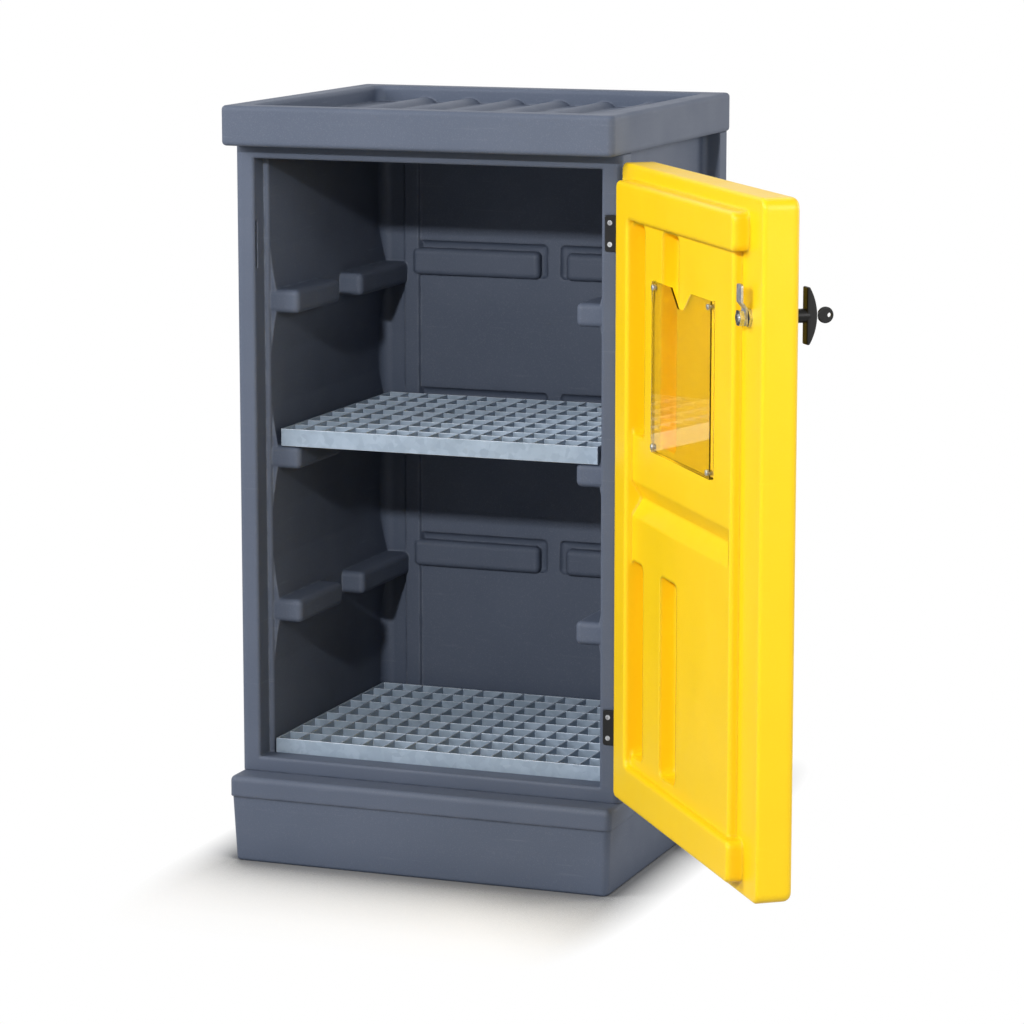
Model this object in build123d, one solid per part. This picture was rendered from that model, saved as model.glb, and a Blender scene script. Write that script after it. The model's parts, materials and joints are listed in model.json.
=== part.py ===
from build123d import *
import os
from math import cos, radians, sin

# Chemical storage cabinet: a moulded body between a sump base and a tray top, one hinged door, two grating
# shelves, and a wing handle with a key. Millimetres, +Z up, front towards -Y, origin on the floor under the
# middle of the body. The door is modelled standing open.

# Body, outside
CABINET_WIDTH = 590
CABINET_DEPTH = 528
CABINET_HEIGHT = 1100
BODY_INSET = 3
FRONT_SETBACK = 43
CORNER_RADIUS = 10
SIDE_WALL = 10
SIDE_STILE = 40
SIDE_POST = 40
RECESS_RADIUS = 8
RECESS_LIFT = 12

# Rim and tray on top
RIM_HEIGHT = 57
RIM_WALL = 36
RIM_EDGE_RADIUS = 6
TRAY_DEPTH = 24
TRAY_CORNER_RADIUS = 14
TRAY_RIBS = 6
TRAY_RIB_PITCH = 72
TRAY_RIB_RADIUS = 22
TRAY_RIB_HEIGHT = 8

# Plinth and sump
PLINTH_HEIGHT = 127
PLINTH_INSET = 1
PLINTH_BAND = 30
PLINTH_STEP = 2
PLINTH_DRAFT = 4
PLINTH_EDGE_RADIUS = 8
FOOT_RADIUS = 4
SUMP_FLOOR = 22
SUMP_SEAT = 24
SUMP_RADIUS = 20

# Door opening and inside of the body
STILE_WIDTH = 29
SILL_HEIGHT = 22
LINTEL_HEIGHT = 20
OPENING_EDGE_RADIUS = 4
JAMB_DEPTH = 34
SHOULDER = 7
SHOULDER_RADIUS = 5
BACK_WALL = 28
INNER_CORNER_RADIUS = 18
LIP_HEIGHT = 4

# Ledges that carry the shelves
LEDGE_LEVELS = 3
LEDGE_RISE = 233
LEDGE_PITCH = 227
LEDGE_WIDTH = 44
LEDGE_HEIGHT = 34
LEDGE_RADIUS = 8
FRONT_LEDGE_START = 4
FRONT_LEDGE_LENGTH = 154
REAR_LEDGE_LENGTH = 184
BACK_BEAD_DEPTH = 10
BACK_BEAD_HEIGHT = 41
BACK_BEAD_LIFT = 22
BACK_BEAD_END_GAP = 10
BACK_BEAD_GAP = 43
BACK_BEAD_GAP_CENTRE = 26.5
BACK_POCKET_DEPTH = 6
BACK_POCKET_MARGIN = 12

# Swellings of the side walls at the ledges, and upright ribs on the back wall
FLARE_HEIGHT = 90
FLARE_DEPTH = 8
BACK_RIB_FROM_SIDE = 32
BACK_RIB_WIDTH = 38
BACK_RIB_DEPTH = 5
BACK_RIB_SLOPE = 8

# Grating shelves
SHELF_LEVEL = 1
GRATING_HEIGHT = 25
GRATING_BAND = 3
GRATING_BAR = 2
GRATING_CROSS_HEIGHT = 20
GRATING_PITCH_ACROSS = 33
GRATING_PITCH_DEEP = 44
GRATING_FRONT_CLEARANCE = 2
GRATING_BACK_CLEARANCE = 12
LOWER_SHELF_SIDE_CLEARANCE = 3
MIDDLE_SHELF_LEFT_CLEARANCE = 8
MIDDLE_SHELF_RIGHT_CLEARANCE = 2
NOTCH_CLEARANCE = 0.05

# Hinges
HINGE_FROM_OPENING_END = 88
HINGE_HEIGHT = 50
LEAF_WIDTH = 20
LEAF_THICKNESS = 4
LEAF_RECESS = 2
LEAF_GAP = 0.5
LEAF_CORNER_RADIUS = 3
LEAF_CLEARANCE = 0.3
BARREL_RADIUS = 3.9
BARREL_RELIEF = 0.5
KNUCKLE_HEIGHT = 18
KNUCKLE_GAP = 0.2
PIN_RADIUS = 1.75
PIN_INSET = 3
PIN_SEAT_CLEARANCE = 0.02
PIN_RUNNING_CLEARANCE = 0.05
DOOR_EDGE_FROM_PIN = 6
LEAF_SCREW_FROM_PIN = 13
LEAF_SCREW_SPACING = 30
LEAF_SCREW_LENGTH = 18
LEAF_SCREW_RADIUS = 1.75
LEAF_SCREW_HEAD_RADIUS = 3.5
LEAF_SCREW_HEAD_DEPTH = 2
SCREW_CLEARANCE = 0.05
CROSS_SLOT_WIDTH = 0.9
CROSS_SLOT_DEPTH = 1

# Door
DOOR_OPEN_ANGLE = 127
DOOR_THICKNESS = 50
DOOR_GAP = 8
DOOR_FREE_MARGIN = 2
DOOR_CORNER_RADIUS = 14
DOOR_OUTER_RADIUS = 10
DOOR_INNER_RADIUS = 4
PLUG_HINGE_GAP = 20
PLUG_FREE_GAP = 24
PLUG_TOP_GAP = 9
PLUG_BOTTOM_GAP = 3
PLUG_CORNER_RADIUS = 10
PLUG_EDGE_RADIUS = 5
FRAME_RISE = 22
FIELD_RISE = 12
FIELD_CUTBACK = 25
HEADER_HEIGHT = 50
FOOTER_HEIGHT = 55
BORDER_WIDTH = 51
NARROW_GROOVE = 50
RIB_WIDTH = 74
WIDE_GROOVE = 68
GROOVE_DEPTH = 28
GROOVE_RADIUS = 10
GROOVE_TOP_GAP = 4
GROOVE_BOTTOM_GAP = 15
LOWER_GROOVE_LENGTH = 275
MIDDLE_BAND = 175
VALLEY_ABOVE_GROOVES = 86
VALLEY_HEIGHT = 50
VALLEY_DEPTH = 15

# Document pocket
POCKET_HEIGHT = 230
POCKET_WALL = 2.5
POCKET_GAP = 3.5
POCKET_OVER_GROOVE = 27
POCKET_BELOW_HEADER = 72
POCKET_FROM_LOCK = 97
NOTCH_WIDTH = 80
NOTCH_FLOOR = 22
NOTCH_DEPTH = 25
NOTCH_RADIUS = 8
POCKET_SCREW_INSET = 8
POCKET_SCREW_RADIUS = 2
POCKET_SCREW_HEAD_RADIUS = 4
POCKET_SCREW_HEAD_HEIGHT = 2.4
POCKET_SCREW_DEPTH = 14
SPACER_RADIUS = 4

# Handle, latch and lock
LOCK_FROM_EDGE = 48
LOCK_FROM_TOP = 153
HOUSING_RADIUS = 9.5
HOUSING_INNER_LENGTH = 4.5
COLLAR_RADIUS = 11
COLLAR_HEIGHT = 5
HOUSING_NUT_SIZE = 22
HOUSING_NUT_HEIGHT = 4
SPINDLE_RADIUS = 6.4
TURNING_CLEARANCE = 0.05
STUB_RADIUS = 5
STUB_END = 1.5
TONGUE_SEAT = 5
TONGUE_THICKNESS = 3
TONGUE_WIDTH = 17
TONGUE_LENGTH = 43
TONGUE_TAIL = 10
TONGUE_CRANK = 6.5
CRANK_START = 12
CRANK_END = 20
WASHER_RADIUS = 10
WASHER_THICKNESS = 1.5
LATCH_NUT_SIZE = 19
LATCH_NUT_HEIGHT = 6
STRIKE_CLEARANCE = 1.5
STRIKE_DEPTH_CLEARANCE = 2.5
STRIKE_RADIUS = 2
NECK_RADIUS = 9
NECK_LENGTH = 18
WING_LENGTH = 73
WING_HEIGHT = 14
WING_WIDTH = 17
WING_TIP = 4
WING_RADIUS = 1.8
WING_GAP = 0.4
CORE_DEPTH = 13
CORE_GAP = 0.1
KEY_SLOT_WIDTH = 2.4
KEY_SLOT_HEIGHT = 7.6
KEY_CLEARANCE = 0.2
KEY_SLOT_DEPTH = 12
KEY_NECK = 3
KEY_HEAD_RADIUS = 10.5
KEY_HEAD_THICKNESS = 5
KEY_HEAD_ROUNDING = 1.5
KEY_HOLE_RADIUS = 3
KEY_HOLE_OFFSET = 5
KEY_TANG = 5

# How far blocks that merge reach into each other, and how far cutters reach past a face
MERGE = 6
CUT = 1

# Body places
HALF_WIDTH = CABINET_WIDTH / 2
HALF_DEPTH = CABINET_DEPTH / 2
BODY_HALF = HALF_WIDTH - BODY_INSET
FRAME_FRONT = -HALF_DEPTH + FRONT_SETBACK
BODY_BACK = HALF_DEPTH - BODY_INSET
RIM_BOTTOM = CABINET_HEIGHT - RIM_HEIGHT
TRAY_FLOOR = CABINET_HEIGHT - TRAY_DEPTH
OPENING_HALF = BODY_HALF - STILE_WIDTH
OPENING_BOTTOM = PLINTH_HEIGHT + SILL_HEIGHT
OPENING_TOP = RIM_BOTTOM - LINTEL_HEIGHT
JAMB_BACK = FRAME_FRONT + JAMB_DEPTH
INNER_HALF = OPENING_HALF - SHOULDER
INNER_BACK = BODY_BACK - BACK_WALL
SEAT = OPENING_BOTTOM - LIP_HEIGHT
LEDGE_TOPS = [SEAT + LEDGE_RISE + level * LEDGE_PITCH for level in range(LEDGE_LEVELS)]
BACK_BEAD_TOPS = [top + BACK_BEAD_LIFT for top in LEDGE_TOPS]
HINGE_CENTRES = {
    "upper": OPENING_TOP - HINGE_FROM_OPENING_END,
    "lower": OPENING_BOTTOM + HINGE_FROM_OPENING_END,
}

# Hinge axis, and the distance from it to each surface that carries a leaf
PIN_X = BODY_HALF - PIN_INSET
PIN_RISE = LEAF_GAP / 2 + LEAF_THICKNESS - LEAF_RECESS
PIN_Y = FRAME_FRONT - PIN_RISE

# Door places: along the door from its hinge edge, up from the floor, inward from its inner face
DOOR_BOTTOM = PLINTH_HEIGHT + DOOR_GAP
DOOR_TOP = RIM_BOTTOM - DOOR_GAP
DOOR_WIDTH = PIN_X - DOOR_EDGE_FROM_PIN + BODY_HALF - DOOR_FREE_MARGIN
HINGE_JAMB = PIN_X - DOOR_EDGE_FROM_PIN - OPENING_HALF
FREE_JAMB = PIN_X - DOOR_EDGE_FROM_PIN + OPENING_HALF
PLUG_START = HINGE_JAMB + PLUG_HINGE_GAP
PLUG_END = FREE_JAMB - PLUG_FREE_GAP
PLUG_BOTTOM = OPENING_BOTTOM + PLUG_BOTTOM_GAP
PLUG_TOP = OPENING_TOP - PLUG_TOP_GAP
FIELD_END = PLUG_END - FIELD_CUTBACK
HEADER_BOTTOM = PLUG_TOP - HEADER_HEIGHT
FOOTER_TOP = PLUG_BOTTOM + FOOTER_HEIGHT
NARROW_GROOVE_START = PLUG_START + BORDER_WIDTH
WIDE_GROOVE_START = NARROW_GROOVE_START + NARROW_GROOVE + RIB_WIDTH
LOWER_GROOVE_BOTTOM = FOOTER_TOP + GROOVE_BOTTOM_GAP
LOWER_GROOVE_TOP = LOWER_GROOVE_BOTTOM + LOWER_GROOVE_LENGTH
UPPER_GROOVE_BOTTOM = LOWER_GROOVE_TOP + MIDDLE_BAND
UPPER_GROOVE_TOP = HEADER_BOTTOM - GROOVE_TOP_GAP
VALLEY_CENTRE = LOWER_GROOVE_TOP + VALLEY_ABOVE_GROOVES
LOCK_ALONG = DOOR_WIDTH - LOCK_FROM_EDGE
LOCK_UP = DOOR_TOP - LOCK_FROM_TOP
POCKET_START = WIDE_GROOVE_START - POCKET_OVER_GROOVE
POCKET_END = LOCK_ALONG - POCKET_FROM_LOCK
POCKET_TOP = HEADER_BOTTOM - POCKET_BELOW_HEADER
POCKET_BOTTOM = POCKET_TOP - POCKET_HEIGHT
POCKET_PLATE = FIELD_RISE + POCKET_GAP

# Lock places: outward from the door's outer face
TONGUE_BACK = -DOOR_THICKNESS - TONGUE_SEAT
WASHER_BACK = TONGUE_BACK - TONGUE_THICKNESS
NUT_BACK = WASHER_BACK - WASHER_THICKNESS
STUB_BACK = NUT_BACK - LATCH_NUT_HEIGHT - STUB_END
NECK_BASE = COLLAR_HEIGHT + WING_GAP
WING_BASE = NECK_BASE + NECK_LENGTH
WING_CREST = WING_BASE + WING_HEIGHT
CORE_BACK = WING_CREST - CORE_DEPTH
KEY_TIP = WING_CREST - KEY_SLOT_DEPTH + KEY_CLEARANCE
KEY_HEAD_CENTRE = WING_CREST + KEY_NECK + KEY_HEAD_RADIUS


# Frames: where the door, a hinge leaf and the lock stand

def door_place():
    """Location of the open door: x along the door, y up, z inward."""
    angle = radians(DOOR_OPEN_ANGLE)
    along = Vector(-cos(angle), -sin(angle), 0)
    inward = Vector(-sin(angle), cos(angle), 0)
    origin = Vector(PIN_X, PIN_Y, 0) + along * DOOR_EDGE_FROM_PIN - inward * PIN_RISE
    return Plane(origin=origin, x_dir=along, z_dir=inward).location


def frame_leaf_place(height):
    """Location of a frame leaf: x from the pin into the leaf, y from the mid-plane to the frame."""
    return Plane(origin=(PIN_X, PIN_Y, height), x_dir=(-1, 0, 0), z_dir=(0, 0, -1)).location


def door_leaf_place(height):
    """Location of a door leaf in the door's own frame: y from the mid-plane to the door."""
    origin = (-DOOR_EDGE_FROM_PIN, height, PIN_RISE)
    return Plane(origin=origin, x_dir=(1, 0, 0), z_dir=(0, 1, 0)).location


def lock_place():
    """Location of the lock in the door's own frame: y up, z outward from the outer face."""
    origin = (LOCK_ALONG, LOCK_UP, -DOOR_THICKNESS)
    return Plane(origin=origin, x_dir=(-1, 0, 0), z_dir=(0, 0, -1)).location


# Basic shapes

def block(x, y, z):
    """Block between two limits along each axis."""
    centre = Pos((x[0] + x[1]) / 2, (y[0] + y[1]) / 2, (z[0] + z[1]) / 2)
    return centre * Box(x[1] - x[0], y[1] - y[0], z[1] - z[0])


def upright_block(x, y, z, radius):
    """Block with rounded upright corners."""
    shape = block(x, y, z)
    return fillet(shape.edges().filter_by(Axis.Z), radius)


def soft_block(x, y, z, radius):
    """Block with every edge rounded."""
    shape = block(x, y, z)
    return fillet(shape.edges(), radius)


def disc(radius, low, high):
    """Round bar along z between two heights."""
    return Pos(0, 0, (low + high) / 2) * Cylinder(radius, high - low)


def hex_bar(size, low, high):
    """Hexagonal bar along z between two heights, size across its flats."""
    outline = RegularPolygon(size / 2, 6, major_radius=False)
    return Pos(0, 0, low) * extrude(outline, amount=high - low)


def cross_slot(radius, top):
    """Cutter for a cross recess in a screw head whose face is at the given height."""
    half = CROSS_SLOT_WIDTH / 2
    heights = (top - CROSS_SLOT_DEPTH, top + CUT)
    return block((-radius, radius), (-half, half), heights) + block((-half, half), (-radius, radius), heights)


# Body, sump base and tray

def rim_with_tray():
    """Top rim, the tray inside it and the rounded ribs of the tray's floor."""
    inner_x = HALF_WIDTH - RIM_WALL
    inner_y = HALF_DEPTH - RIM_WALL
    rim = upright_block((-HALF_WIDTH, HALF_WIDTH), (-HALF_DEPTH, HALF_DEPTH),
                        (RIM_BOTTOM, CABINET_HEIGHT), CORNER_RADIUS)
    rim -= upright_block((-inner_x, inner_x), (-inner_y, inner_y),
                         (TRAY_FLOOR, CABINET_HEIGHT + CUT), TRAY_CORNER_RADIUS)
    rim = fillet(rim.faces().sort_by(Axis.Z)[-1].edges(), RIM_EDGE_RADIUS)
    rim = fillet(rim.faces().sort_by(Axis.Z)[0].edges(), RIM_EDGE_RADIUS)
    above_floor = block((-inner_x, inner_x), (-inner_y - MERGE, inner_y + MERGE),
                        (TRAY_FLOOR - CUT, CABINET_HEIGHT))
    for index in range(TRAY_RIBS):
        x = (index - (TRAY_RIBS - 1) / 2) * TRAY_RIB_PITCH
        place = Pos(x, 0, TRAY_FLOOR + TRAY_RIB_HEIGHT - TRAY_RIB_RADIUS) * Rot(90, 0, 0)
        rim += place * Cylinder(TRAY_RIB_RADIUS, 2 * (inner_y + MERGE)) & above_floor
    return rim


def plinth():
    """Plinth: an upright band over a foot that draws in towards the floor."""
    half_x = HALF_WIDTH - PLINTH_INSET
    half_y = HALF_DEPTH - PLINTH_INSET
    band_bottom = PLINTH_HEIGHT - PLINTH_BAND
    band = upright_block((-half_x, half_x), (-half_y, half_y), (band_bottom, PLINTH_HEIGHT), CORNER_RADIUS)
    band = fillet(band.faces().sort_by(Axis.Z)[-1].edges(), PLINTH_EDGE_RADIUS)
    foot_x = half_x - PLINTH_STEP
    foot_y = half_y - PLINTH_STEP
    top = RectangleRounded(2 * foot_x, 2 * foot_y, CORNER_RADIUS)
    bottom = RectangleRounded(2 * (foot_x - PLINTH_DRAFT), 2 * (foot_y - PLINTH_DRAFT), CORNER_RADIUS)
    foot = loft([bottom, Pos(0, 0, band_bottom + CUT) * top], ruled=True)
    foot = fillet(foot.faces().sort_by(Axis.Z)[0].edges(), FOOT_RADIUS)
    return band + foot


def inside_space(low, high):
    """Space behind the jambs between two heights, with rounded corners at the back."""
    space = block((-INNER_HALF, INNER_HALF), (JAMB_BACK, INNER_BACK), (low, high))
    back_corners = space.edges().filter_by(Axis.Z).sort_by(Axis.Y)[-2:]
    return fillet(back_corners, INNER_CORNER_RADIUS)


def carcass():
    """Walls with the door opening, the inside and the side recesses."""
    shell = upright_block((-BODY_HALF, BODY_HALF), (FRAME_FRONT, BODY_BACK), (PLINTH_HEIGHT, RIM_BOTTOM),
                          CORNER_RADIUS)
    shell -= block((-OPENING_HALF, OPENING_HALF), (FRAME_FRONT - CUT, JAMB_BACK),
                   (OPENING_BOTTOM, OPENING_TOP))
    front = shell.faces().sort_by(Axis.Y)[0]
    shell = fillet(front.inner_wires()[0].edges(), OPENING_EDGE_RADIUS)
    shell -= inside_space(OPENING_BOTTOM, OPENING_TOP)
    uprights = shell.edges().filter_by(Axis.Z)
    shoulders = uprights.filter_by_position(Axis.Y, JAMB_BACK - CUT, JAMB_BACK + CUT)
    shoulders = shoulders.filter_by_position(Axis.X, -INNER_HALF - CUT, INNER_HALF + CUT)
    shell = fillet(shoulders, SHOULDER_RADIUS)
    for side in (-1, 1):
        x = sorted((side * (INNER_HALF + SIDE_WALL), side * (BODY_HALF + MERGE + RECESS_RADIUS)))
        shell -= soft_block(x, (FRAME_FRONT + SIDE_STILE, BODY_BACK - SIDE_POST),
                            (PLINTH_HEIGHT + RECESS_LIFT, RIM_BOTTOM + RECESS_RADIUS), RECESS_RADIUS)
    return shell


def back_bead_spans():
    """Left and right limits of the two beads on the back wall."""
    end = INNER_HALF - LEDGE_WIDTH - BACK_BEAD_END_GAP
    half_gap = BACK_BEAD_GAP / 2
    return [(-end, BACK_BEAD_GAP_CENTRE - half_gap), (BACK_BEAD_GAP_CENTRE + half_gap, end)]


def back_pockets():
    """Cutters for the shallow pockets in the back wall that its beads stand in."""
    y = (INNER_BACK - 2 * LEDGE_RADIUS, INNER_BACK + BACK_POCKET_DEPTH)
    return [soft_block((x[0] - BACK_POCKET_MARGIN, x[1] + BACK_POCKET_MARGIN), y,
                       (top - BACK_BEAD_HEIGHT, top + BACK_POCKET_MARGIN), LEDGE_RADIUS)
            for top in BACK_BEAD_TOPS for x in back_bead_spans()]


def back_beads():
    """Rounded level beads on the back wall, behind the shelf of every level."""
    y = (INNER_BACK - BACK_BEAD_DEPTH, INNER_BACK + BACK_POCKET_DEPTH + MERGE + LEDGE_RADIUS)
    return [soft_block(x, y, (top - BACK_BEAD_HEIGHT, top), LEDGE_RADIUS)
            for top in BACK_BEAD_TOPS for x in back_bead_spans()]


def ledges():
    """Ledges for the shelves: two on each side wall at every level."""
    front = JAMB_BACK + FRONT_LEDGE_START
    depths = [(front, front + FRONT_LEDGE_LENGTH), (INNER_BACK - REAR_LEDGE_LENGTH, INNER_BACK + MERGE)]
    shapes = []
    for top in LEDGE_TOPS:
        for side in (-1, 1):
            x = sorted((side * (INNER_HALF - LEDGE_WIDTH), side * (INNER_HALF + SIDE_WALL - CUT)))
            shapes += [soft_block(x, y, (top - LEDGE_HEIGHT, top), LEDGE_RADIUS) for y in depths]
    return shapes


def wall_flares():
    """Swellings along the side walls, highest at each level of ledges and drawn out above and below it."""
    crest = INNER_HALF - FLARE_DEPTH
    root = INNER_HALF + CUT
    front = JAMB_BACK + SHOULDER_RADIUS + CUT
    back = INNER_BACK + MERGE
    inside = block((-root, root), (front, back), (OPENING_BOTTOM, OPENING_TOP))
    shapes = []
    for top in LEDGE_TOPS:
        bottom = top - LEDGE_HEIGHT
        start = (root, top + FLARE_HEIGHT)
        end = (root, bottom - FLARE_HEIGHT)
        outline = [
            TangentArc(start, (crest, top), tangent=(0, -1)),
            Line((crest, top), (crest, bottom)),
            TangentArc(end, (crest, bottom), tangent=(0, 1)),
            Line(end, start),
        ]
        flare = extrude(Plane.XZ.offset(-back) * make_face(outline), amount=back - front) & inside
        shapes += [flare, mirror(flare, about=Plane.YZ)]
    return shapes


def back_ribs():
    """Upright ribs with sloping sides, near both ends of the back wall."""
    outer = INNER_HALF - BACK_RIB_FROM_SIDE
    inner = outer - BACK_RIB_WIDTH
    crest = INNER_BACK - BACK_RIB_DEPTH
    root = INNER_BACK + BACK_POCKET_DEPTH + MERGE
    outline = Polyline((outer, root), (outer - BACK_RIB_SLOPE, crest), (inner + BACK_RIB_SLOPE, crest),
                       (inner, root), close=True)
    bottom = SEAT - MERGE
    rib = extrude(Plane.XY.offset(bottom) * make_face(outline), amount=OPENING_TOP + MERGE - bottom)
    return [rib, mirror(rib, about=Plane.YZ)]


def sump_basin():
    """Cutter for the sump, from its floor up to the seat of the grating above it."""
    x = INNER_HALF - SUMP_SEAT
    return upright_block((-x, x), (JAMB_BACK + SUMP_SEAT, INNER_BACK - SUMP_SEAT), (SUMP_FLOOR, SEAT + CUT),
                         SUMP_RADIUS)


def strike_pocket():
    """Cutter for the pocket in the left jamb that the latch tongue turns into."""
    lock_x = PIN_X - DOOR_EDGE_FROM_PIN - LOCK_ALONG
    inner_face = PIN_Y - PIN_RISE
    tongue_front = inner_face + TONGUE_SEAT + TONGUE_CRANK
    front = tongue_front - STRIKE_CLEARANCE
    back = tongue_front + TONGUE_THICKNESS + STRIKE_CLEARANCE
    return soft_block((lock_x - TONGUE_LENGTH - STRIKE_DEPTH_CLEARANCE, -OPENING_HALF + MERGE),
                      (front, back),
                      (LOCK_UP - TONGUE_WIDTH, LOCK_UP + TONGUE_LENGTH + TONGUE_WIDTH / 2), STRIKE_RADIUS)


def cabinet_body():
    """The moulded body between sump base and tray, with its ledges, strike pocket and hinge seats."""
    body = carcass() - inside_space(SEAT, OPENING_BOTTOM + CUT) - sump_basin()
    for shape in back_pockets():
        body -= shape
    for shape in wall_flares() + back_ribs() + back_beads() + ledges():
        body += shape
    body -= strike_pocket()
    for height in HINGE_CENTRES.values():
        place = frame_leaf_place(height)
        body -= place * leaf_recess()
        body -= [place * hole for hole in leaf_screw_holes()]
    return body


# Hinges: x from the pin into the leaf, y from the mid-plane to the carrying surface, z along the pin

def leaf_recess():
    """Cutter for the shallow seat of a hinge leaf, open towards the pin."""
    surface = PIN_RISE
    floor = surface + LEAF_RECESS
    half = HINGE_HEIGHT / 2 + LEAF_CLEARANCE
    return block((-PIN_INSET - MERGE, LEAF_WIDTH + LEAF_CLEARANCE), (surface - CUT, floor), (-half, half))


def leaf_screw_places():
    """Places of a leaf's two screws, each with its head towards the mid-plane."""
    heights = (-LEAF_SCREW_SPACING / 2, LEAF_SCREW_SPACING / 2)
    origins = [(LEAF_SCREW_FROM_PIN, LEAF_GAP / 2, height) for height in heights]
    return [Plane(origin=origin, x_dir=(1, 0, 0), z_dir=(0, -1, 0)).location for origin in origins]


def leaf_screw():
    """Countersunk screw with its head's face at z = 0."""
    head_low = -LEAF_SCREW_HEAD_DEPTH
    head = Pos(0, 0, head_low / 2) * Cone(LEAF_SCREW_RADIUS, LEAF_SCREW_HEAD_RADIUS, LEAF_SCREW_HEAD_DEPTH)
    shank = disc(LEAF_SCREW_RADIUS, -LEAF_SCREW_LENGTH, head_low)
    slot_reach = (LEAF_SCREW_HEAD_RADIUS + LEAF_SCREW_RADIUS) / 2
    return head + shank - cross_slot(slot_reach, 0)


def leaf_screw_holes():
    """Cutters for a leaf's two screws, with clearance all round."""
    low = -LEAF_SCREW_HEAD_DEPTH
    head = Pos(0, 0, low / 2) * Cone(LEAF_SCREW_RADIUS + SCREW_CLEARANCE,
                                     LEAF_SCREW_HEAD_RADIUS + SCREW_CLEARANCE, LEAF_SCREW_HEAD_DEPTH)
    shank = disc(LEAF_SCREW_RADIUS + SCREW_CLEARANCE, -LEAF_SCREW_LENGTH - SCREW_CLEARANCE, low)
    hole = head + shank
    return [place * hole for place in leaf_screw_places()]


def hinge_leaf(knuckles, pin_clearance):
    """Hinge leaf with the knuckles that it carries, given as spans along the pin."""
    y = (LEAF_GAP / 2, LEAF_GAP / 2 + LEAF_THICKNESS)
    half = HINGE_HEIGHT / 2
    near = BARREL_RADIUS + BARREL_RELIEF
    plate = block((near, LEAF_WIDTH), y, (-half, half))
    outer_corners = plate.edges().filter_by(Axis.Y).sort_by(Axis.X)[-2:]
    leaf = fillet(outer_corners, LEAF_CORNER_RADIUS)
    for span in knuckles:
        leaf += disc(BARREL_RADIUS, *span)
        leaf += block((0, near + CUT), (LEAF_GAP / 2, BARREL_RADIUS), span)
    leaf -= disc(PIN_RADIUS + pin_clearance, -half - CUT, half + CUT)
    for hole in leaf_screw_holes():
        leaf -= hole
    return leaf


def frame_leaf():
    """Leaf on the cabinet, with the two outer knuckles."""
    near = KNUCKLE_HEIGHT / 2 + KNUCKLE_GAP
    far = HINGE_HEIGHT / 2
    return hinge_leaf([(-far, -near), (near, far)], PIN_SEAT_CLEARANCE)


def door_leaf():
    """Leaf on the door, with the middle knuckle."""
    return hinge_leaf([(-KNUCKLE_HEIGHT / 2, KNUCKLE_HEIGHT / 2)], PIN_RUNNING_CLEARANCE)


def hinge_pin():
    """Plain pin through the knuckles."""
    return disc(PIN_RADIUS, -HINGE_HEIGHT / 2, HINGE_HEIGHT / 2)


# Door: x along the door, y up, z inward from its inner face

def door_flange():
    """Outer part of the door, with rounded corners and edges."""
    flange = block((0, DOOR_WIDTH), (DOOR_BOTTOM, DOOR_TOP), (-DOOR_THICKNESS, 0))
    flange = fillet(flange.edges().filter_by(Axis.Z), DOOR_CORNER_RADIUS)
    flange = fillet(flange.faces().sort_by(Axis.Z)[0].edges(), DOOR_OUTER_RADIUS)
    return fillet(flange.faces().sort_by(Axis.Z)[-1].edges(), DOOR_INNER_RADIUS)


def door_plug():
    """Raised inner part: header, hinge border and footer in one frame, and the lower field beside them."""
    frame = block((PLUG_START, PLUG_END), (PLUG_BOTTOM, PLUG_TOP), (-MERGE, FRAME_RISE))
    frame -= block((NARROW_GROOVE_START, PLUG_END + CUT), (FOOTER_TOP, HEADER_BOTTOM),
                   (-MERGE - CUT, FRAME_RISE + CUT))
    frame = fillet(frame.edges().filter_by(Axis.Z), PLUG_CORNER_RADIUS)
    frame = fillet(frame.faces().sort_by(Axis.Z)[-1].edges(), PLUG_EDGE_RADIUS)
    field = block((PLUG_START + BORDER_WIDTH / 2, FIELD_END), (FOOTER_TOP - MERGE, HEADER_BOTTOM + MERGE),
                  (-MERGE, FIELD_RISE))
    free_edge = field.faces().sort_by(Axis.Z)[-1].edges().sort_by(Axis.X)[-1]
    return frame + fillet([free_edge], PLUG_EDGE_RADIUS)


def door_grooves():
    """Cutters for the upright grooves above and below the middle band."""
    depth = (FIELD_RISE - GROOVE_DEPTH, FRAME_RISE + GROOVE_RADIUS + CUT)
    starts = ((NARROW_GROOVE_START, NARROW_GROOVE), (WIDE_GROOVE_START, WIDE_GROOVE))
    heights = ((LOWER_GROOVE_BOTTOM, LOWER_GROOVE_TOP), (UPPER_GROOVE_BOTTOM, UPPER_GROOVE_TOP))
    return [soft_block((start, start + width), up, depth, GROOVE_RADIUS)
            for start, width in starts for up in heights]


def door_valley():
    """Cutter for the shallow cross valley in the middle band."""
    half = VALLEY_HEIGHT / 2
    surface = FIELD_RISE
    outline = Polyline((VALLEY_CENTRE - half, surface), (VALLEY_CENTRE, surface - VALLEY_DEPTH),
                       (VALLEY_CENTRE + half, surface), (VALLEY_CENTRE + half, surface + CUT),
                       (VALLEY_CENTRE - half, surface + CUT), close=True)
    length = FIELD_END - NARROW_GROOVE_START - 2 * PLUG_EDGE_RADIUS
    return extrude(Plane.YZ.offset(NARROW_GROOVE_START) * make_face(outline), amount=length)


def pocket_screw_places():
    """Centres of the pocket's four screws."""
    left = POCKET_START + POCKET_SCREW_INSET
    right = POCKET_END - POCKET_SCREW_INSET
    low = POCKET_BOTTOM + POCKET_SCREW_INSET
    high = POCKET_TOP - POCKET_SCREW_INSET
    return [Pos(x, y, 0) for x in (left, right) for y in (low, high)]


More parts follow.
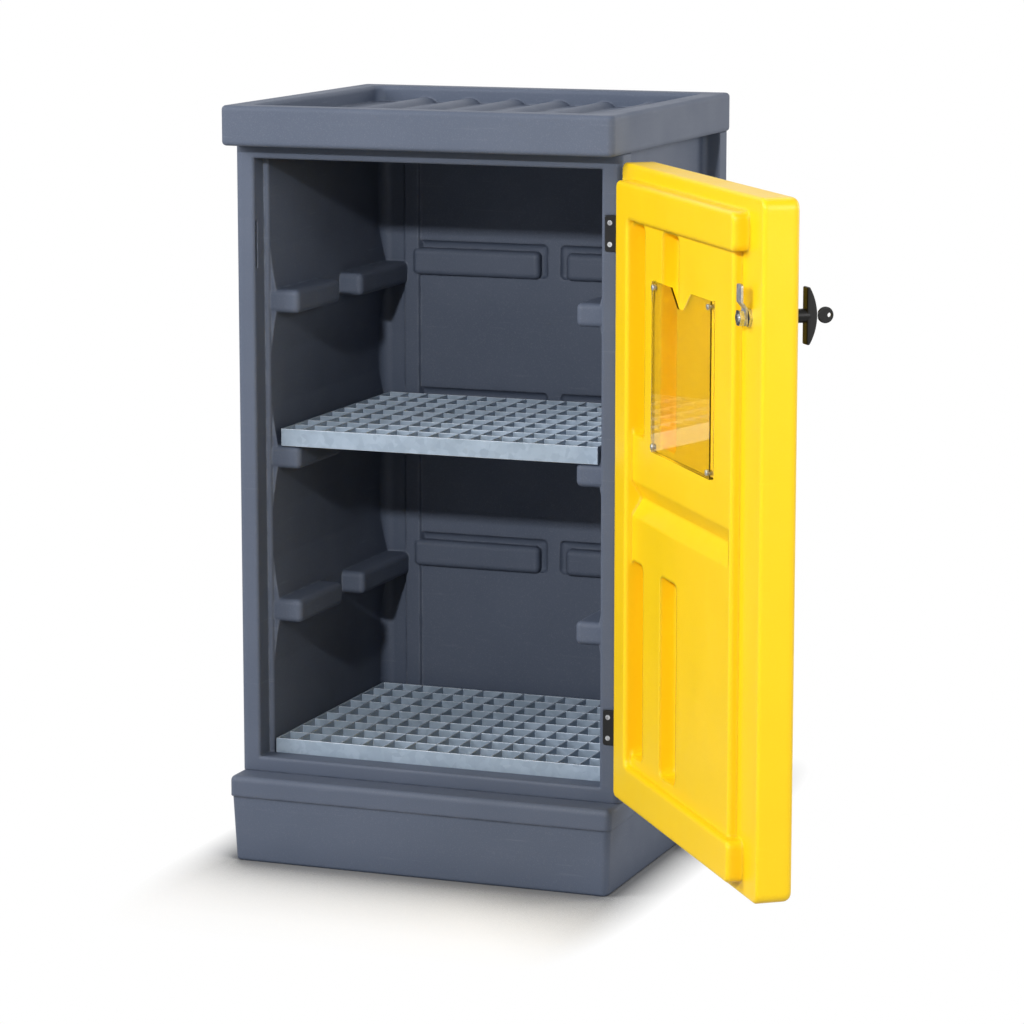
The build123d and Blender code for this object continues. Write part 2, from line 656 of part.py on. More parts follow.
def door_shell():
    """The moulded door in one piece."""
    shell = door_flange() + door_plug()
    for cutter in door_grooves():
        shell -= cutter
    shell -= door_valley()
    for height in HINGE_CENTRES.values():
        place = door_leaf_place(height)
        shell -= place * leaf_recess()
        shell -= [place * hole for hole in leaf_screw_holes()]
    shell -= lock_place() * disc(HOUSING_RADIUS + SCREW_CLEARANCE, -DOOR_THICKNESS - CUT, CUT)
    for place in pocket_screw_places():
        shell -= place * disc(POCKET_SCREW_RADIUS + SCREW_CLEARANCE, FIELD_RISE - POCKET_SCREW_DEPTH,
                              FIELD_RISE + CUT)
    return shell


# Document pocket, in the door's frame

def finger_notch():
    """Cutter for the notch in the pocket's upper edge, with a rounded floor."""
    middle = (POCKET_START + POCKET_END) / 2
    floor = POCKET_TOP - NOTCH_DEPTH
    mouth_half = NOTCH_WIDTH / 2
    floor_half = NOTCH_FLOOR / 2
    outline = Polyline((middle - mouth_half, POCKET_TOP), (middle - floor_half, floor),
                       (middle + floor_half, floor), (middle + mouth_half, POCKET_TOP),
                       (middle + mouth_half, POCKET_TOP + CUT), (middle - mouth_half, POCKET_TOP + CUT),
                       close=True)
    sheet = make_face(outline)
    sheet = fillet(sheet.vertices().sort_by(Axis.Y)[:2], NOTCH_RADIUS)
    return extrude(Pos(0, 0, FIELD_RISE) * sheet, amount=POCKET_GAP + POCKET_WALL + CUT)


def document_pocket():
    """Clear plate with side and bottom walls, open at the top, with a finger notch."""
    face = (POCKET_PLATE, POCKET_PLATE + POCKET_WALL)
    depth = (FIELD_RISE, POCKET_PLATE)
    up = (POCKET_BOTTOM, POCKET_TOP)
    pocket = block((POCKET_START, POCKET_END), up, face)
    pocket += block((POCKET_START, POCKET_START + POCKET_WALL), up, depth)
    pocket += block((POCKET_END - POCKET_WALL, POCKET_END), up, depth)
    pocket += block((POCKET_START, POCKET_END), (POCKET_BOTTOM, POCKET_BOTTOM + POCKET_WALL), depth)
    pocket -= finger_notch()
    for place in pocket_screw_places():
        pocket -= place * disc(POCKET_SCREW_RADIUS + SCREW_CLEARANCE, FIELD_RISE, face[1] + CUT)
    return pocket


def pocket_spacer():
    """Sleeve that holds a corner of the pocket off the door."""
    return disc(SPACER_RADIUS, FIELD_RISE, POCKET_PLATE) - disc(POCKET_SCREW_RADIUS + SCREW_CLEARANCE,
                                                                FIELD_RISE - CUT, POCKET_PLATE + CUT)


def pocket_screw():
    """Pan-head screw through the pocket and its spacer into the door."""
    seat = POCKET_PLATE + POCKET_WALL
    top = seat + POCKET_SCREW_HEAD_HEIGHT
    head = disc(POCKET_SCREW_HEAD_RADIUS, seat, top)
    head = fillet(head.faces().sort_by(Axis.Z)[-1].edges(), POCKET_SCREW_HEAD_HEIGHT / 2)
    screw = head + disc(POCKET_SCREW_RADIUS, FIELD_RISE - POCKET_SCREW_DEPTH, seat)
    return screw - cross_slot(POCKET_SCREW_HEAD_RADIUS / 2, top)


# Lock: y up, z outward from the door's outer face

def lock_housing():
    """Housing through the door, with a collar outside."""
    inner_end = -DOOR_THICKNESS - HOUSING_INNER_LENGTH
    housing = disc(HOUSING_RADIUS, inner_end, 0) + disc(COLLAR_RADIUS, 0, COLLAR_HEIGHT)
    return housing - disc(SPINDLE_RADIUS + TURNING_CLEARANCE, inner_end - CUT, COLLAR_HEIGHT + CUT)


def lock_housing_nut():
    """Hexagonal nut that clamps the housing to the door's inner face."""
    low = -DOOR_THICKNESS - HOUSING_NUT_HEIGHT
    return hex_bar(HOUSING_NUT_SIZE, low, -DOOR_THICKNESS) - disc(HOUSING_RADIUS + SCREW_CLEARANCE,
                                                                  low - CUT, -DOOR_THICKNESS + CUT)


def lock_spindle():
    """Spindle from the wing handle through the housing, with a stub for the tongue."""
    return disc(SPINDLE_RADIUS, TONGUE_BACK, CORE_BACK - CORE_GAP) + disc(STUB_RADIUS, STUB_BACK, TONGUE_BACK)


def latch_tongue():
    """Cranked latch tongue: its tip lies further from the door than its hub, and points up."""
    hub = (WASHER_BACK, TONGUE_BACK)
    tip = (WASHER_BACK - TONGUE_CRANK, TONGUE_BACK - TONGUE_CRANK)
    lower = [(-TONGUE_TAIL, hub[0]), (CRANK_START, hub[0]), (CRANK_END, tip[0]), (TONGUE_LENGTH, tip[0])]
    upper = [(TONGUE_LENGTH, tip[1]), (CRANK_END, tip[1]), (CRANK_START, hub[1]), (-TONGUE_TAIL, hub[1])]
    side = Polyline(*lower, *upper, close=True)
    tongue = extrude(Plane.YZ * make_face(side), amount=TONGUE_WIDTH / 2, both=True)
    corners = tongue.edges().filter_by(Axis.Z)
    tongue = fillet(corners, TONGUE_WIDTH / 4)
    return tongue - disc(STUB_RADIUS + SCREW_CLEARANCE, hub[0] - CUT, hub[1] + CUT)


def latch_washer():
    """Washer under the spindle's nut."""
    hole = disc(STUB_RADIUS + SCREW_CLEARANCE, NUT_BACK - CUT, WASHER_BACK + CUT)
    return disc(WASHER_RADIUS, NUT_BACK, WASHER_BACK) - hole


def latch_nut():
    """Nut that holds the tongue on the spindle."""
    low = NUT_BACK - LATCH_NUT_HEIGHT
    nut = hex_bar(LATCH_NUT_SIZE, low, NUT_BACK)
    return nut - disc(STUB_RADIUS + SCREW_CLEARANCE, low - CUT, NUT_BACK + CUT)


def wing_handle():
    """Wing handle: a neck and an upright bar bowed outward, bored for spindle and core."""
    half = WING_LENGTH / 2
    tip = WING_BASE + WING_TIP
    bow = ThreePointArc((half, tip), (0, WING_CREST), (-half, tip))
    base = Polyline((-half, tip), (-half, WING_BASE), (half, WING_BASE), (half, tip))
    wing = extrude(Plane.YZ * make_face([bow, base]), amount=WING_WIDTH / 2, both=True)
    wing = fillet(wing.edges(), WING_RADIUS) + disc(NECK_RADIUS, NECK_BASE, WING_BASE + WING_TIP)
    return wing - disc(SPINDLE_RADIUS + TURNING_CLEARANCE, NECK_BASE - CUT, WING_CREST + CUT)


def lock_core():
    """Lock core in the handle, with the key's slot."""
    core = disc(SPINDLE_RADIUS, CORE_BACK, WING_CREST)
    slot_half_width = KEY_SLOT_WIDTH / 2
    slot_half_height = KEY_SLOT_HEIGHT / 2
    return core - block((-slot_half_width, slot_half_width), (-slot_half_height, slot_half_height),
                        (WING_CREST - KEY_SLOT_DEPTH, WING_CREST + CUT))


def key_blade_block(clearance):
    """Flat blade of the key, from its tip in the core to its tang in the head."""
    half_x = KEY_SLOT_WIDTH / 2 - KEY_CLEARANCE + clearance
    half_y = KEY_SLOT_HEIGHT / 2 - KEY_CLEARANCE + clearance
    tang_end = KEY_HEAD_CENTRE - KEY_HEAD_RADIUS + KEY_TANG
    return block((-half_x, half_x), (-half_y, half_y), (KEY_TIP, tang_end + clearance))


def key_head():
    """Round key head with a hole, slotted for the blade's tang."""
    face = Plane(origin=(0, 0, KEY_HEAD_CENTRE), x_dir=(0, 1, 0), z_dir=(1, 0, 0)).location
    half = KEY_HEAD_THICKNESS / 2
    head = disc(KEY_HEAD_RADIUS, -half, half)
    head = fillet(head.edges().filter_by(GeomType.CIRCLE), KEY_HEAD_ROUNDING)
    head -= Pos(0, KEY_HOLE_OFFSET, 0) * disc(KEY_HOLE_RADIUS, -half - CUT, half + CUT)
    return face * head - key_blade_block(SCREW_CLEARANCE)


# Grating shelves

def grating_pieces(x, height):
    """Edge band, bearing bars and cross bars of a grating between two sides, standing at a height."""
    y = (JAMB_BACK + GRATING_FRONT_CLEARANCE, INNER_BACK - GRATING_BACK_CLEARANCE)
    width = x[1] - x[0]
    depth = y[1] - y[0]
    top = height + GRATING_HEIGHT
    cross_low = top - GRATING_CROSS_HEIGHT
    notch_floor = top - GRATING_CROSS_HEIGHT / 2
    inner_x = (x[0] + GRATING_BAND, x[1] - GRATING_BAND)
    inner_y = (y[0] + GRATING_BAND, y[1] - GRATING_BAND)
    cells_across = round(width / GRATING_PITCH_ACROSS)
    cells_deep = round(depth / GRATING_PITCH_DEEP)
    bar_places = [x[0] + width * index / cells_across for index in range(1, cells_across)]
    cross_places = [y[0] + depth * index / cells_deep for index in range(1, cells_deep)]

    band = block(x, y, (height, top)) - block(inner_x, inner_y, (height - CUT, top + CUT))

    half = GRATING_BAR / 2
    slot = half + NOTCH_CLEARANCE
    bar = block((-half, half), inner_y, (height, top))
    for place in cross_places:
        bar -= block((-half - CUT, half + CUT), (place - slot, place + slot), (notch_floor, top + CUT))
    bearing_bars = Compound([Pos(place, 0, 0) * bar for place in bar_places])

    cross_bar = block(inner_x, (-half, half), (cross_low, top))
    for place in bar_places:
        cross_bar -= block((place - slot, place + slot), (-half - CUT, half + CUT),
                           (cross_low - CUT, notch_floor))
    cross_bars = Compound([Pos(0, place, 0) * cross_bar for place in cross_places])
    return {"band": band, "bearing_bars": bearing_bars, "cross_bars": cross_bars}


# Export

def cabinet_nodes():
    """Nodes that stay with the body."""
    nodes = {
        "cabinet_body": cabinet_body(),
        "sump_base": plinth() - sump_basin(),
        "top_tray": rim_with_tray(),
    }
    screws = []
    for name, height in HINGE_CENTRES.items():
        place = frame_leaf_place(height)
        nodes[f"{name}_hinge_frame_leaf"] = place * frame_leaf()
        nodes[f"{name}_hinge_pin"] = place * hinge_pin()
        screws += [place * spot * leaf_screw() for spot in leaf_screw_places()]
    nodes["frame_leaf_screws"] = Compound(screws)
    return nodes


def door_nodes():
    """Nodes that swing with the door, in the door's own frame."""
    nodes = {"door_shell": door_shell()}
    screws = []
    for name, height in HINGE_CENTRES.items():
        place = door_leaf_place(height)
        nodes[f"{name}_hinge_door_leaf"] = place * door_leaf()
        screws += [place * spot * leaf_screw() for spot in leaf_screw_places()]
    nodes["door_leaf_screws"] = Compound(screws)
    nodes["document_pocket"] = document_pocket()
    nodes["pocket_spacers"] = Compound([place * pocket_spacer() for place in pocket_screw_places()])
    nodes["pocket_screws"] = Compound([place * pocket_screw() for place in pocket_screw_places()])
    return nodes


def lock_nodes():
    """Housing, handle, latch, lock core and key, in the lock's own frame."""
    return {
        "lock_housing": lock_housing(),
        "lock_housing_nut": lock_housing_nut(),
        "lock_spindle": lock_spindle(),
        "latch_tongue": latch_tongue(),
        "latch_washer": latch_washer(),
        "latch_nut": latch_nut(),
        "wing_handle": wing_handle(),
        "lock_core": lock_core(),
        "key_blade": key_blade_block(0),
        "key_head": key_head(),
    }


def shelf_nodes():
    """The middle shelf on its ledges and the lower grating on the sump's seat."""
    crest = INNER_HALF - FLARE_DEPTH
    middle = (-crest + MIDDLE_SHELF_LEFT_CLEARANCE, crest - MIDDLE_SHELF_RIGHT_CLEARANCE)
    lower = (-INNER_HALF + LOWER_SHELF_SIDE_CLEARANCE, INNER_HALF - LOWER_SHELF_SIDE_CLEARANCE)
    shelves = {"middle": (middle, LEDGE_TOPS[SHELF_LEVEL]), "lower": (lower, SEAT)}
    return {f"{name}_shelf_{piece}": shape
            for name, (x, height) in shelves.items()
            for piece, shape in grating_pieces(x, height).items()}


nodes = cabinet_nodes()
nodes.update({name: door_place() * shape for name, shape in door_nodes().items()})
nodes.update({name: door_place() * lock_place() * shape for name, shape in lock_nodes().items()})
nodes.update(shelf_nodes())

os.makedirs("parts", exist_ok=True)
for name, shape in nodes.items():
    export_step(shape, f"parts/{name}.step")
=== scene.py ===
import json
import math

import bpy
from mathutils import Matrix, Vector


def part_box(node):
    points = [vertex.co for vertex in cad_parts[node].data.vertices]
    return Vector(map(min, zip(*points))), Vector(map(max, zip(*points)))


# Looks of a moulded chemical storage cabinet with its door open. Metres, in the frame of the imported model.

with open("model.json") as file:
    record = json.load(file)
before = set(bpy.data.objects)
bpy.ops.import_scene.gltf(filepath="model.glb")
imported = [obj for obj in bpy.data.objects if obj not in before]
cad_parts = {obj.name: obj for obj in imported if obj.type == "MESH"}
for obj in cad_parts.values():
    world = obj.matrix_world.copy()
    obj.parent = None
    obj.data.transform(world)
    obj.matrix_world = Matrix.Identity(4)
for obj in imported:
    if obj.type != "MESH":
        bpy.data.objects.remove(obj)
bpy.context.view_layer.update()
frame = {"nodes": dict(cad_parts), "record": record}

# Camera, as in the photograph: focal length in pixels of a square picture, angles in degrees
PICTURE_PIXELS = 1024
FOCAL_PIXELS = 3849.2
SENSOR_WIDTH = 36
CAMERA_PLACE = (2.0334, -5.2143, 1.4706)
CAMERA_TURN = 20.855
CAMERA_DIP = 9.917
LEVEL_VIEW = 90

# Lamps: place, the point that the lamp faces, side of its square in metres, power in watts
LAMPS = {
    "front_key": dict(place=(0.49, -4.9, 2.51), target=(0, -0.2, 0.6), side=0.16, power=164),
    "left_soft": dict(place=(-2.9, -2.15, 2.6), target=(0.3, -0.4, 0.6), side=2, power=124),
    "right_soft": dict(place=(3.82, -2.26, 1.97), target=(0.5, -0.5, 0.6), side=1.6, power=78),
    "top_soft": dict(place=(0, 1.2, 3.7), target=(0, 0, 0), side=1.6, power=26),
    "back_soft": dict(place=(3.4, 2.7, 1.6), target=(0.3, 0, 0.5), side=1.8, power=62),
}
SURROUNDINGS_LIGHT = 0.04

# Colours
SLATE = (0.083, 0.101, 0.144)
# Darker slate, used for random mottling and for painted shade in recesses
SLATE_MOTTLE_AND_SHADE = (0.048, 0.064, 0.1)
SLATE_WORN = (0.19, 0.214, 0.268)
YELLOW = (0.95, 0.625, 0.008)
# Orange, used for random mottling and for painted shade and painted bounce light in the door's recesses
YELLOW_MOTTLE_AND_SHADE = (0.92, 0.52, 0.006)
YELLOW_WORN = (0.96, 0.72, 0.02)
GALVANISED_DARK = (0.24, 0.305, 0.385)
GALVANISED_LIGHT = (0.335, 0.412, 0.51)
GALVANISED_RUBBED = (0.78, 0.85, 0.94)
BLACK = (0.01, 0.01, 0.0105)
BLACK_WORN = (0.04, 0.04, 0.042)
ZINC = (0.5, 0.51, 0.52)
ZINC_DULL = (0.3, 0.3, 0.31)
NICKEL = (0.68, 0.68, 0.67)
NICKEL_DULL = (0.46, 0.46, 0.45)
CLEAR = (0.75, 0.725, 0.61)
CLEAR_SCUFFED = (0.72, 0.695, 0.585)
FLOOR = (0.92, 0.92, 0.92)
# Colour of the painted contact shadow on the floor
FLOOR_SHADED = (0.19, 0.195, 0.205)
FLOOR_BOUNCE = (0.36, 0.36, 0.36)
WHITE = (1, 1, 1)
OPAQUE = 1

# Sockets of the Mix node that take and give colours
MIX_FACTOR = 0
MIX_FIRST = 6
MIX_SECOND = 7
MIX_RESULT = 2

# Rays that the edge masks and the painted shade masks send out from each point
EDGE_RAYS = 6
RECESS_RAYS = 8


# Node helpers

def new_material(name):
    """A material with its node tree and its main shader."""
    material = bpy.data.materials.new(name)
    material.use_nodes = True
    tree = material.node_tree
    return material, tree, tree.nodes["Principled BSDF"]


def join(tree, value, socket):
    """Links an output to a socket, or sets the socket to a plain value."""
    if isinstance(value, bpy.types.NodeSocket):
        tree.links.new(value, socket)
    elif socket.type == "RGBA":
        socket.default_value = (*value, OPAQUE)
    else:
        socket.default_value = value


def fill(tree, node, **sockets):
    """Gives a node's sockets their values. A socket's name is written with underscores."""
    for name, value in sockets.items():
        join(tree, value, node.inputs[name.replace("_", " ")])


def add(tree, kind, settings=None, **sockets):
    """Adds a node with its settings and sockets."""
    node = tree.nodes.new("ShaderNode" + kind)
    for name, value in (settings or {}).items():
        setattr(node, name, value)
    fill(tree, node, **sockets)
    return node


def object_points(tree):
    """Points in the piece's own frame, in metres."""
    return add(tree, "TexCoord").outputs["Object"]


def noise(tree, points, scale, detail, roughness=0.5, output="Fac"):
    """Soft random value with so many features in a metre."""
    node = add(tree, "TexNoise", Vector=points, Scale=scale, Detail=detail, Roughness=roughness)
    return node.outputs[output]


def drawn_noise(tree, points, scales, detail, roughness=0.5):
    """Soft random value with its own number of features in a metre along each axis."""
    drawn = add(tree, "Mapping", Vector=points, Scale=scales).outputs["Vector"]
    return noise(tree, drawn, scale=1, detail=detail, roughness=roughness)


def spread(tree, value, source, target=(0, 1)):
    """Maps a range of a value to another range, and holds it there."""
    node = add(tree, "MapRange", Value=value)
    for name, number in zip(("From Min", "From Max", "To Min", "To Max"), (*source, *target)):
        node.inputs[name].default_value = number
    return node.outputs["Result"]


def number_step(tree, operation, first, second):
    """One step of arithmetic on two values."""
    node = add(tree, "Math", {"operation": operation})
    for value, socket in zip((first, second), node.inputs):
        join(tree, value, socket)
    return node.outputs["Value"]


def vector_step(tree, operation, *vectors, result="Vector"):
    """One step of arithmetic on one or two vectors."""
    node = add(tree, "VectorMath", {"operation": operation})
    for vector, socket in zip(vectors, node.inputs):
        join(tree, vector, socket)
    return node.outputs[result]


def blend_colours(tree, factor, first, second):
    """Mix of two colours."""
    node = add(tree, "Mix", {"data_type": "RGBA"})
    for value, socket in ((factor, MIX_FACTOR), (first, MIX_FIRST), (second, MIX_SECOND)):
        join(tree, value, node.inputs[socket])
    return node.outputs[MIX_RESULT]


def show_mixed(tree, factor, first, second):
    """Shows a mix of two shaders on the material's surface."""
    mixed = add(tree, "MixShader", Fac=factor)
    _, first_socket, second_socket = mixed.inputs
    tree.links.new(first.outputs[0], first_socket)
    tree.links.new(second.outputs[0], second_socket)
    tree.links.new(mixed.outputs["Shader"], tree.nodes["Material Output"].inputs["Surface"])


def bump(tree, height, depth, strength, below=None):
    """Normal that follows a height, given the depth of its full range in metres."""
    node = add(tree, "Bump", Height=height, Distance=depth, Strength=strength)
    if below is not None:
        tree.links.new(below, node.inputs["Normal"])
    return node.outputs["Normal"]


def rounded_normal(tree, radius):
    """Normal of the piece as if its edges were rounded."""
    return add(tree, "Bevel", {"samples": EDGE_RAYS}, Radius=radius).outputs["Normal"]


def edge_mask(tree, rounded, reach, share=1):
    """Value that rises from 0 to a share along edges, as the rounded normal leaves the true one."""
    true_normal = add(tree, "NewGeometry").outputs["Normal"]
    likeness = vector_step(tree, "DOT_PRODUCT", rounded, true_normal, result="Value")
    return spread(tree, likeness, reach, (0, share))


def painted_shade_mask(tree, distance, reach, share=1):
    """Painted shade: value that rises from 0 to a share in recesses, inner corners and near other parts,
    where shade falls.
    """
    open_sky = add(tree, "AmbientOcclusion", {"samples": RECESS_RAYS}, Distance=distance).outputs["AO"]
    return spread(tree, open_sky, reach, (0, share))


# Moulded polyethylene. In all materials, scales are features in a metre, and depths and radii are in metres.
SKIN_CLOUD = dict(scale=7, detail=4)
SKIN_MOTTLE = dict(source=(0.35, 0.65), target=(0, 0.16))
SKIN_DULLING = (0.3, 0.7)
SKIN_PEBBLE = dict(scale=620, detail=2)
SKIN_SPECKLE = dict(source=(0.56, 0.72), target=(0, 0.22))
SKIN_PEBBLE_RELIEF = dict(depth=0.0004, strength=0.45)
SKIN_WAVE = dict(scale=11, detail=1)
SKIN_WAVE_RELIEF = dict(depth=0.006, strength=0.35)
SKIN_SCUFF = dict(scales=(9, 9, 160), detail=5, roughness=0.65)
SKIN_SCUFFING = dict(source=(0.62, 0.74), target=(0, 0.22))
SKIN_WEAR = dict(scale=45, detail=4)
SKIN_WEARING = dict(source=(0.38, 0.62), target=(0.1, 0.5))
SKIN_EDGE_REACH = (0.995, 0.86)
# Range of open sky over which recesses are painted in shade
SKIN_PAINTED_SHADE_REACH = (0.8, 0.35)
SKIN_GLOSS = 0.3
# The last two values of each skin set how far and how strongly its recesses are painted in shade
BODY_SKIN = dict(
    colour=SLATE, mottle_and_shade=SLATE_MOTTLE_AND_SHADE, worn=SLATE_WORN, roughness=(0.53, 0.66),
    edge_radius=0.005, painted_shade_distance=0.09, painted_shade_share=0.7,
)
DOOR_SKIN = dict(
    colour=YELLOW, mottle_and_shade=YELLOW_MOTTLE_AND_SHADE, worn=YELLOW_WORN, roughness=(0.29, 0.42),
    edge_radius=0.007, painted_shade_distance=0.06, painted_shade_share=0.25,
)


def moulded_plastic(name, colour, mottle_and_shade, worn, roughness, edge_radius, painted_shade_distance, painted_shade_share):
    """Rotation-moulded skin: fine pebbles, slow waves, a mottled tone, scuffs, paler edges and painted shade
    darkening its recesses and inner corners.
    """
    material, tree, shader = new_material(name)
    points = object_points(tree)
    cloud = noise(tree, points, **SKIN_CLOUD)
    pebble = noise(tree, points, **SKIN_PEBBLE)
    rounded = rounded_normal(tree, edge_radius)
    # Painted shade: ambient occlusion finds the recesses and inner corners that are painted darker below
    painted_recess_shade = painted_shade_mask(tree, painted_shade_distance, SKIN_PAINTED_SHADE_REACH, painted_shade_share)
    wear = spread(tree, noise(tree, points, **SKIN_WEAR), **SKIN_WEARING)
    worn_edges = number_step(tree, "MULTIPLY", edge_mask(tree, rounded, SKIN_EDGE_REACH), wear)
    scuffs = spread(tree, drawn_noise(tree, points, **SKIN_SCUFF), **SKIN_SCUFFING)
    mottled = blend_colours(tree, spread(tree, cloud, **SKIN_MOTTLE), colour, mottle_and_shade)
    speckled = blend_colours(tree, spread(tree, pebble, **SKIN_SPECKLE), mottled, worn)
    # Painted shade in recesses; on the door the orange tint there also stands for painted bounce light from
    # the yellow plastic
    shaded = blend_colours(tree, painted_recess_shade, speckled, mottle_and_shade)
    edged = blend_colours(tree, worn_edges, shaded, worn)
    waves = bump(tree, noise(tree, points, **SKIN_WAVE), **SKIN_WAVE_RELIEF, below=rounded)
    fill(
        tree, shader,
        Base_Color=blend_colours(tree, scuffs, edged, worn),
        Roughness=spread(tree, cloud, SKIN_DULLING, roughness),
        Normal=bump(tree, pebble, **SKIN_PEBBLE_RELIEF, below=waves),
        Specular_IOR_Level=SKIN_GLOSS,
    )
    return material


# Galvanised steel
SPANGLE_SCALE = 105
SPANGLE_WOBBLE = dict(scale=90, detail=2, output="Color")
SPANGLE_WOBBLE_REACH = (0.006, 0.006, 0.006)
SPANGLE_RANGE = (0, 1)
SPANGLE_TONES = (0.25, 0.8)
SPANGLE_ROUGHNESS = (0.34, 0.52)
BLOOM = dict(scale=26, detail=5, roughness=0.6)
BLOOM_DULLING = dict(source=(0.42, 0.68), target=(0, 0.55))
BLOOM_RELIEF = dict(depth=0.0008, strength=0.5)
RUBBED_RADIUS = 0.0016
RUBBED_REACH = (0.99, 0.8)
RUBBED_SHARE = 0.9
GALVANISED_METALLIC = 0.2


def spangle(tree, points):
    """Tone of flat zinc grains with wavy borders."""
    wobble = noise(tree, points, **SPANGLE_WOBBLE)
    shift = vector_step(tree, "MULTIPLY", wobble, SPANGLE_WOBBLE_REACH)
    bent = vector_step(tree, "ADD", points, shift)
    grains = add(tree, "TexVoronoi", Vector=bent, Scale=SPANGLE_SCALE)
    return add(tree, "SeparateColor", Color=grains.outputs["Color"]).outputs["Red"]


def galvanised_steel():
    """Hot-dip zinc coat: spangle, dull bloom over it and edges rubbed bright."""
    material, tree, shader = new_material("galvanised_steel")
    points = object_points(tree)
    grains = spangle(tree, points)
    bloom = noise(tree, points, **BLOOM)
    rounded = rounded_normal(tree, RUBBED_RADIUS)
    rubbed_edges = edge_mask(tree, rounded, RUBBED_REACH, RUBBED_SHARE)
    grain_mix = spread(tree, grains, SPANGLE_RANGE, SPANGLE_TONES)
    tone = blend_colours(tree, grain_mix, GALVANISED_DARK, GALVANISED_LIGHT)
    dulled = blend_colours(tree, spread(tree, bloom, **BLOOM_DULLING), tone, GALVANISED_DARK)
    fill(
        tree, shader,
        Base_Color=blend_colours(tree, rubbed_edges, dulled, GALVANISED_RUBBED),
        Roughness=spread(tree, grains, SPANGLE_RANGE, SPANGLE_ROUGHNESS),
        Normal=bump(tree, bloom, **BLOOM_RELIEF, below=rounded),
        Metallic=GALVANISED_METALLIC,
    )
    return material


# Plated steel
PLATE_PATCH = dict(scale=160, detail=3)
PLATE_PATCH_RANGE = (0.4, 0.66)
PLATE_STREAK_DETAIL = 3
PLATE_STREAK_RANGE = (0.3, 0.7)
PLATE_STREAK_RELIEF = dict(depth=0.0001, strength=0.4)
ZINC_PLATE = dict(bright=ZINC, dull=ZINC_DULL, roughness=(0.3, 0.46), streak_scales=(420, 420, 35))
NICKEL_PLATE = dict(bright=NICKEL, dull=NICKEL_DULL, roughness=(0.14, 0.3), streak_scales=(900, 900, 75))


def plated_metal(name, bright, dull, roughness, streak_scales):
    """Thin plating over pressed or turned steel: drawn streaks and dull patches."""
    material, tree, shader = new_material(name)
    points = object_points(tree)
    streaks = drawn_noise(tree, points, streak_scales, PLATE_STREAK_DETAIL)
    patches = spread(tree, noise(tree, points, **PLATE_PATCH), PLATE_PATCH_RANGE)
    fill(
        tree, shader,
        Base_Color=blend_colours(tree, patches, bright, dull),
        Roughness=spread(tree, streaks, PLATE_STREAK_RANGE, roughness),
        Normal=bump(tree, streaks, **PLATE_STREAK_RELIEF),
        Metallic=1,
    )
    return material


# Glass-filled nylon
NYLON_GRAIN = dict(scale=1500, detail=2)
NYLON_GRAIN_RELIEF = dict(depth=0.0001, strength=0.5)
NYLON_WEAR = dict(scale=300, detail=2)
NYLON_WEARING = dict(source=(0.4, 0.65), target=(0.1, 0.6))
NYLON_EDGE_RADIUS = 0.0012
NYLON_EDGE_REACH = (0.99, 0.85)
NYLON_CLOUD = dict(scale=80, detail=2)
NYLON_ROUGHNESS = dict(source=(0.3, 0.7), target=(0.34, 0.46))
NYLON_GLOSS = 0.2


def black_plastic():
    """Black nylon: fine grain, faint sheen, edges rubbed paler."""
    material, tree, shader = new_material("black_plastic")
    points = object_points(tree)
    rounded = rounded_normal(tree, NYLON_EDGE_RADIUS)
    wear = spread(tree, noise(tree, points, **NYLON_WEAR), **NYLON_WEARING)
    worn_edges = number_step(tree, "MULTIPLY", edge_mask(tree, rounded, NYLON_EDGE_REACH), wear)
    fill(
        tree, shader,
        Base_Color=blend_colours(tree, worn_edges, BLACK, BLACK_WORN),
        Roughness=spread(tree, noise(tree, points, **NYLON_CLOUD), **NYLON_ROUGHNESS),
        Normal=bump(tree, noise(tree, points, **NYLON_GRAIN), **NYLON_GRAIN_RELIEF, below=rounded),
        Specular_IOR_Level=NYLON_GLOSS,
    )
    return material


# Clear acrylic
ACRYLIC_SCUFF = dict(scales=(40, 40, 700), detail=4)
ACRYLIC_SCUFF_RANGE = (0.55, 0.75)
ACRYLIC_ROUGHNESS = dict(source=(0.5, 0.75), target=(0.02, 0.1))
ACRYLIC_IOR = 1.49


def clear_plastic():
    """Bent acrylic sheet: clear, faintly warm, with handling scuffs. Lamps shine through it."""
    material, tree, shader = new_material("clear_plastic")
    scuffs = drawn_noise(tree, object_points(tree), **ACRYLIC_SCUFF)
    scuffing = spread(tree, scuffs, ACRYLIC_SCUFF_RANGE)
    fill(
        tree, shader,
        Base_Color=blend_colours(tree, scuffing, CLEAR, CLEAR_SCUFFED),
        Roughness=spread(tree, scuffs, **ACRYLIC_ROUGHNESS),
        Transmission_Weight=1,
        IOR=ACRYLIC_IOR,
    )
    passing = add(tree, "BsdfTransparent", Color=CLEAR)
    show_mixed(tree, add(tree, "LightPath").outputs["Is Shadow Ray"], shader, passing)
    return material


def dress_nodes():
    """Gives each node the material of its slot in the record."""
    slot_materials = {
        "body_plastic": moulded_plastic("body_plastic", **BODY_SKIN),
        "door_plastic": moulded_plastic("door_plastic", **DOOR_SKIN),
        "galvanised": galvanised_steel(),
        "black_plastic": black_plastic(),
        "zinc": plated_metal("zinc", **ZINC_PLATE),
        "bright_steel": plated_metal("bright_steel", **NICKEL_PLATE),
        "clear_plastic": clear_plastic(),
    }
    for subpart in frame["record"]["subparts"]:
        materials = frame["nodes"][subpart["node"]].data.materials
        materials.clear()
        materials.append(slot_materials[subpart["material_slot"]])


